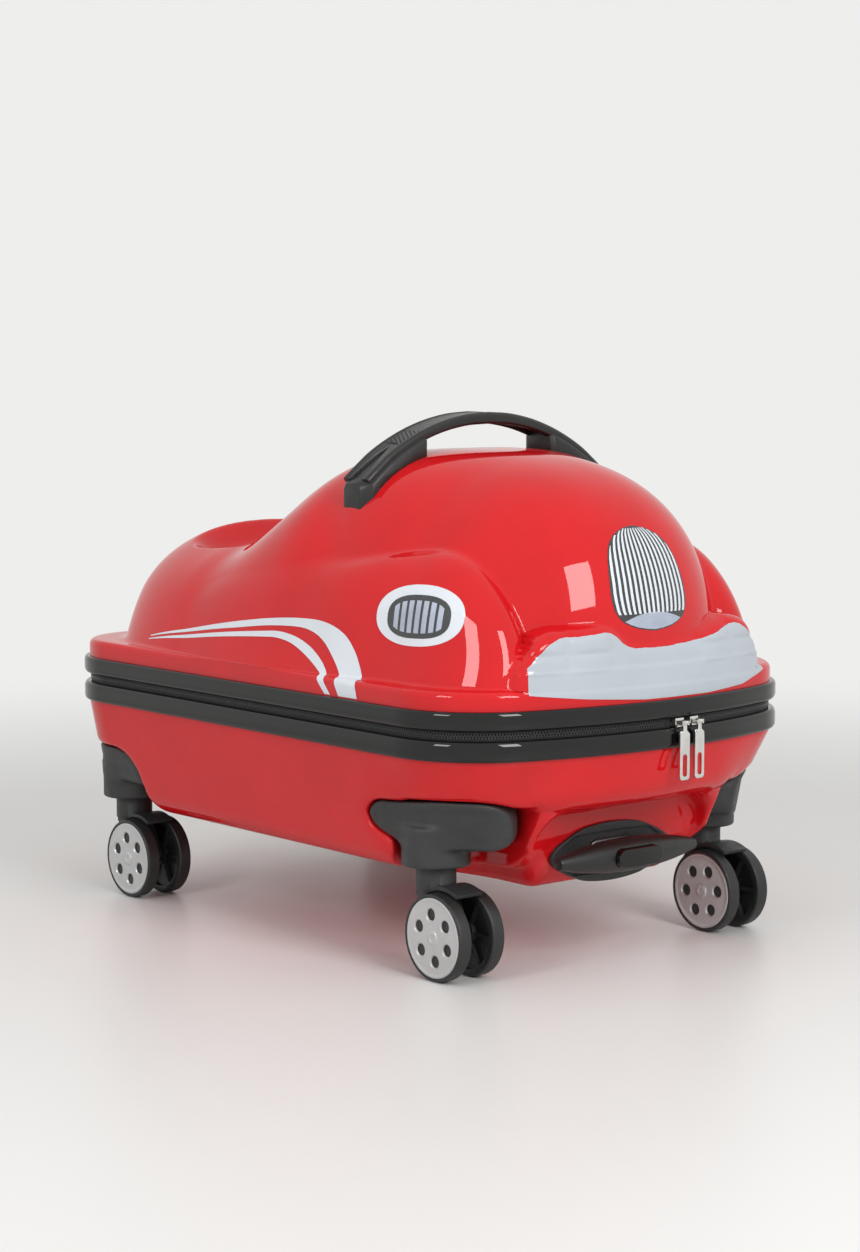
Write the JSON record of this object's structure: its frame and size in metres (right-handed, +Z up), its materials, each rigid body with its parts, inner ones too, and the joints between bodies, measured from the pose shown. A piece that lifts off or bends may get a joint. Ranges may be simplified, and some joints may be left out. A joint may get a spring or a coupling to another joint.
{
  "type": "ride-on suitcase",
  "caption": "Hard ride-on suitcase for a child: car-shaped hinged lid with a seat hollow and carry strap, zipped lower shell, telescopic pull handle and swivelling twin-wheel casters.",
  "frame": {"origin": "on the floor under the middle of the case's outline", "axes": "+Z up, the car's front faces -Y, the lid is hinged along the +X side"},
  "size_m": [0.323, 0.5056, 0.3665],
  "materials": {
    "red_shell": "glossy moulded shell with printed trim",
    "rim_black": "satin black extrusion",
    "black_tape": "woven zip tape",
    "grey_lining": "thin woven lining",
    "soft_black": "fine grained",
    "steel": "bright",
    "wheel_black": "moulded tread",
    "cap_silver": "silver painted",
    "tube_silver": "drawn tube",
    "button_black": "satin",
    "zip_chrome": "plated"
  },
  "bodies": {
    "base": {"lower_shell": "red_shell", "lower_rim": "rim_black", "zip_tape_lower": "black_tape", "hinge_tape_lower": "black_tape", "lining_lower": "grey_lining", "housing_rivets": "steel", "base_studs": "wheel_black", "swivel_pins": "steel", "handle_bezel": "soft_black", "pole_outer_tube": "tube_silver", "pole_end_block": "soft_black", "caster_housing_fl": "soft_black", "caster_housing_fr": "soft_black", "caster_housing_rl": "soft_black", "caster_housing_rr": "soft_black"},
    "lid": {"upper_shell": "red_shell", "upper_rim": "rim_black", "zip_tape_upper": "black_tape", "hinge_tape_upper": "black_tape", "lining_upper": "grey_lining", "carry_grip": "soft_black", "carry_foot_left": "soft_black", "carry_foot_right": "soft_black", "handle_plates": "steel", "handle_screws": "steel"},
    "pole_middle": {"pole_middle_tube": "tube_silver"},
    "pole_grip": {"pole_inner_tube": "tube_silver", "pull_grip": "soft_black", "button_spring": "steel"},
    "button": {"push_button": "button_black", "release_rod": "steel"},
    "caster_fl": {"caster_fork_fl": "soft_black", "caster_axle_fl": "steel"},
    "wheel_fl_left": {"wheel_fl_left": "wheel_black", "wheel_cap_fl_left": "cap_silver"},
    "wheel_fl_right": {"wheel_fl_right": "wheel_black", "wheel_cap_fl_right": "cap_silver"},
    "caster_fr": {"caster_fork_fr": "soft_black", "caster_axle_fr": "steel"},
    "wheel_fr_left": {"wheel_fr_left": "wheel_black", "wheel_cap_fr_left": "cap_silver"},
    "wheel_fr_right": {"wheel_fr_right": "wheel_black", "wheel_cap_fr_right": "cap_silver"},
    "caster_rl": {"caster_fork_rl": "soft_black", "caster_axle_rl": "steel"},
    "wheel_rl_left": {"wheel_rl_left": "wheel_black", "wheel_cap_rl_left": "cap_silver"},
    "wheel_rl_right": {"wheel_rl_right": "wheel_black", "wheel_cap_rl_right": "cap_silver"},
    "caster_rr": {"caster_fork_rr": "soft_black", "caster_axle_rr": "steel"},
    "wheel_rr_left": {"wheel_rr_left": "wheel_black", "wheel_cap_rr_left": "cap_silver"},
    "wheel_rr_right": {"wheel_rr_right": "wheel_black", "wheel_cap_rr_right": "cap_silver"},
    "slider_left": {"zip_slider_left": "zip_chrome"},
    "pull_left": {"zip_pull_left": "zip_chrome"},
    "slider_right": {"zip_slider_right": "zip_chrome"},
    "pull_right": {"zip_pull_right": "zip_chrome"}
  },
  "joints": [
    {"name": "lid_hinge", "type": "hinge", "parent": "base", "child": "lid", "pos_m": [0.1615, 0, 0.16475], "axis": [0, 1, 0], "range_deg": [0, 110]},
    {"name": "swivel_fl", "type": "hinge", "parent": "base", "child": "caster_fl", "pos_m": [-0.123, -0.161, 0.029], "axis": [0, 0, 1], "continuous": true},
    {"name": "spin_fl_left", "type": "hinge", "parent": "caster_fl", "child": "wheel_fl_left", "pos_m": [-0.123, -0.18, 0.029], "axis": [1, 0, 0], "continuous": true},
    {"name": "spin_fl_right", "type": "hinge", "parent": "caster_fl", "child": "wheel_fl_right", "pos_m": [-0.123, -0.18, 0.029], "axis": [1, 0, 0], "continuous": true},
    {"name": "swivel_fr", "type": "hinge", "parent": "base", "child": "caster_fr", "pos_m": [0.123, -0.161, 0.029], "axis": [0, 0, 1], "continuous": true},
    {"name": "spin_fr_left", "type": "hinge", "parent": "caster_fr", "child": "wheel_fr_left", "pos_m": [0.123, -0.18, 0.029], "axis": [1, 0, 0], "continuous": true},
    {"name": "spin_fr_right", "type": "hinge", "parent": "caster_fr", "child": "wheel_fr_right", "pos_m": [0.123, -0.18, 0.029], "axis": [1, 0, 0], "continuous": true},
    {"name": "swivel_rl", "type": "hinge", "parent": "base", "child": "caster_rl", "pos_m": [-0.123, 0.199, 0.029], "axis": [0, 0, 1], "continuous": true},
    {"name": "spin_rl_left", "type": "hinge", "parent": "caster_rl", "child": "wheel_rl_left", "pos_m": [-0.123, 0.18, 0.029], "axis": [1, 0, 0], "continuous": true},
    {"name": "spin_rl_right", "type": "hinge", "parent": "caster_rl", "child": "wheel_rl_right", "pos_m": [-0.123, 0.18, 0.029], "axis": [1, 0, 0], "continuous": true},
    {"name": "swivel_rr", "type": "hinge", "parent": "base", "child": "caster_rr", "pos_m": [0.123, 0.199, 0.029], "axis": [0, 0, 1], "continuous": true},
    {"name": "spin_rr_left", "type": "hinge", "parent": "caster_rr", "child": "wheel_rr_left", "pos_m": [0.123, 0.18, 0.029], "axis": [1, 0, 0], "continuous": true},
    {"name": "spin_rr_right", "type": "hinge", "parent": "caster_rr", "child": "wheel_rr_right", "pos_m": [0.123, 0.18, 0.029], "axis": [1, 0, 0], "continuous": true},
    {"name": "pole_middle_slide", "type": "slide", "parent": "base", "child": "pole_middle", "axis": [0, -1, 0], "range_m": [0, 0.24]},
    {"name": "pull_handle_slide", "type": "slide", "parent": "pole_middle", "child": "pole_grip", "axis": [0, -1, 0], "range_m": [0, 0.24]},
    {"name": "button_press", "type": "slide", "parent": "pole_grip", "child": "button", "axis": [0, 1, 0], "range_m": [0, 0.003], "stiffness_N_per_m": 1500, "deforming": ["button_spring"]},
    {"name": "zip_travel_left", "type": "hinge", "parent": "base", "child": "slider_left", "pos_m": [0, 0.12096, 0.16475], "axis": [0, 0, 1], "range_deg": [-18, 0]},
    {"name": "pull_flip_left", "type": "hinge", "parent": "slider_left", "child": "pull_left", "pos_m": [0.01309, -0.25397, 0.16475], "axis": [-0.9994, -0.0349, 0], "range_deg": [0, 120]},
    {"name": "zip_travel_right", "type": "hinge", "parent": "base", "child": "slider_right", "pos_m": [0, 0.12096, 0.16475], "axis": [0, 0, 1], "range_deg": [0, 12]},
    {"name": "pull_flip_right", "type": "hinge", "parent": "slider_right", "child": "pull_right", "pos_m": [0.02748, -0.25319, 0.16475], "axis": [-0.9973, -0.0732, 0], "range_deg": [0, 120]}
  ],
  "couplings": [
    {"joint": "pole_middle_slide", "follows": "pull_handle_slide", "ratio": 1}
  ]
}
